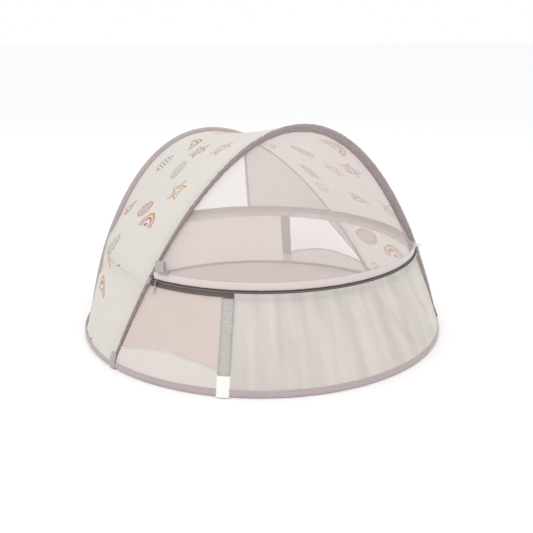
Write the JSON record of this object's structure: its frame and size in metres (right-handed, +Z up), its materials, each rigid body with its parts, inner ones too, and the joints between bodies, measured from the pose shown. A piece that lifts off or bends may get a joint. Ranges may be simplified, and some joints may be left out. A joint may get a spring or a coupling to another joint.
{
  "type": "pop-up play tent",
  "caption": "Round pop-up baby cot tent with a shallow mesh-windowed body, a printed canopy on two sprung arches and a zipped mosquito net.",
  "frame": {"origin": "on the ground under the middle of the floor", "axes": "+Z up, front opening towards -Y, +X to the right"},
  "size_m": [1.1472, 1.1718, 0.6735],
  "materials": {
    "canopy_cloth": "plain-weave polyester, printed with small loose motifs",
    "floor_cloth": "coated ground cloth",
    "mat_cloth": "padded mat, pale mauve-pink",
    "mauve_binding": "woven polyester binding, mauve-taupe",
    "mesh_cloth": "knitted mesh, pale pink",
    "net_cloth": "fine mosquito net, mauve",
    "satin_cloth": "satin-faced polyester, pale grey-beige",
    "spring_wire": "drawn spring steel, hidden in the sleeves",
    "tab_cloth": "woven tab, off-white",
    "zip_chain": "moulded nylon zip on woven tape, dark brown",
    "zip_metal": "painted zinc slider and puller"
  },
  "bodies": {
    "tent": {"base_ferrule": "spring_wire", "base_hoop": "spring_wire", "base_sleeve": "mauve_binding", "canopy_front": "canopy_cloth", "canopy_rear": "canopy_cloth", "floor_mat": "mat_cloth", "floor_panel": "floor_cloth", "foot_tab_front_left": "tab_cloth", "foot_tab_front_right": "tab_cloth", "foot_tab_rear_left": "tab_cloth", "foot_tab_rear_right": "tab_cloth", "front_leg_sleeve_left": "mauve_binding", "front_leg_sleeve_right": "mauve_binding", "front_leg_wire_left": "spring_wire", "front_leg_wire_right": "spring_wire", "front_post_pocket": "tab_cloth", "front_post_sleeve": "satin_cloth", "front_post_stay": "spring_wire", "front_wall_mesh": "mesh_cloth", "front_wall_satin": "satin_cloth", "front_wall_skirt": "satin_cloth", "mosquito_net": "net_cloth", "net_hem": "satin_cloth", "rear_arch_hoop": "spring_wire", "rear_arch_sleeve": "mauve_binding", "rear_panel_header": "satin_cloth", "rear_panel_left": "satin_cloth", "rear_panel_right": "satin_cloth", "rear_post_pocket": "tab_cloth", "rear_post_sleeve": "satin_cloth", "rear_post_stay": "spring_wire", "rear_wall_mesh": "mesh_cloth", "rear_wall_satin": "satin_cloth", "rear_wall_skirt": "satin_cloth", "rear_window_mesh": "mesh_cloth", "rim_ferrule": "spring_wire", "rim_hoop": "spring_wire", "rim_sleeve": "mauve_binding", "side_wall_left": "canopy_cloth", "side_wall_right": "canopy_cloth", "tie_strap_left": "tab_cloth", "tie_strap_right": "tab_cloth", "zip_stop_left": "zip_metal", "zip_stop_right": "zip_metal", "zip_tape_lower": "zip_chain", "zip_tape_upper": "zip_chain", "zip_teeth": "zip_chain"},
    "front_arch": {"front_bow_wire": "spring_wire", "front_bow_sleeve": "mauve_binding"},
    "zip_slider": {"zip_slider": "zip_metal"},
    "zip_puller": {"zip_puller": "zip_metal"}
  },
  "joints": [
    {"name": "front_arch_fold", "type": "hinge", "parent": "tent", "child": "front_arch", "pos_m": [0, -0.25701, 0.276], "axis": [-1, 0, 0], "range_deg": [0, 30], "deforming": ["canopy_front", "mosquito_net"]},
    {"name": "zip_slider_travel", "type": "hinge", "parent": "tent", "child": "zip_slider", "pos_m": [0, 0, 0.2615], "axis": [0, 0, 1], "range_deg": [0, 111.3]},
    {"name": "zip_puller_flip", "type": "hinge", "parent": "zip_slider", "child": "zip_puller", "pos_m": [-0.40576, -0.27658, 0.2615], "axis": [-0.5632, 0.8263, 0], "range_deg": [0, 120]}
  ]
}
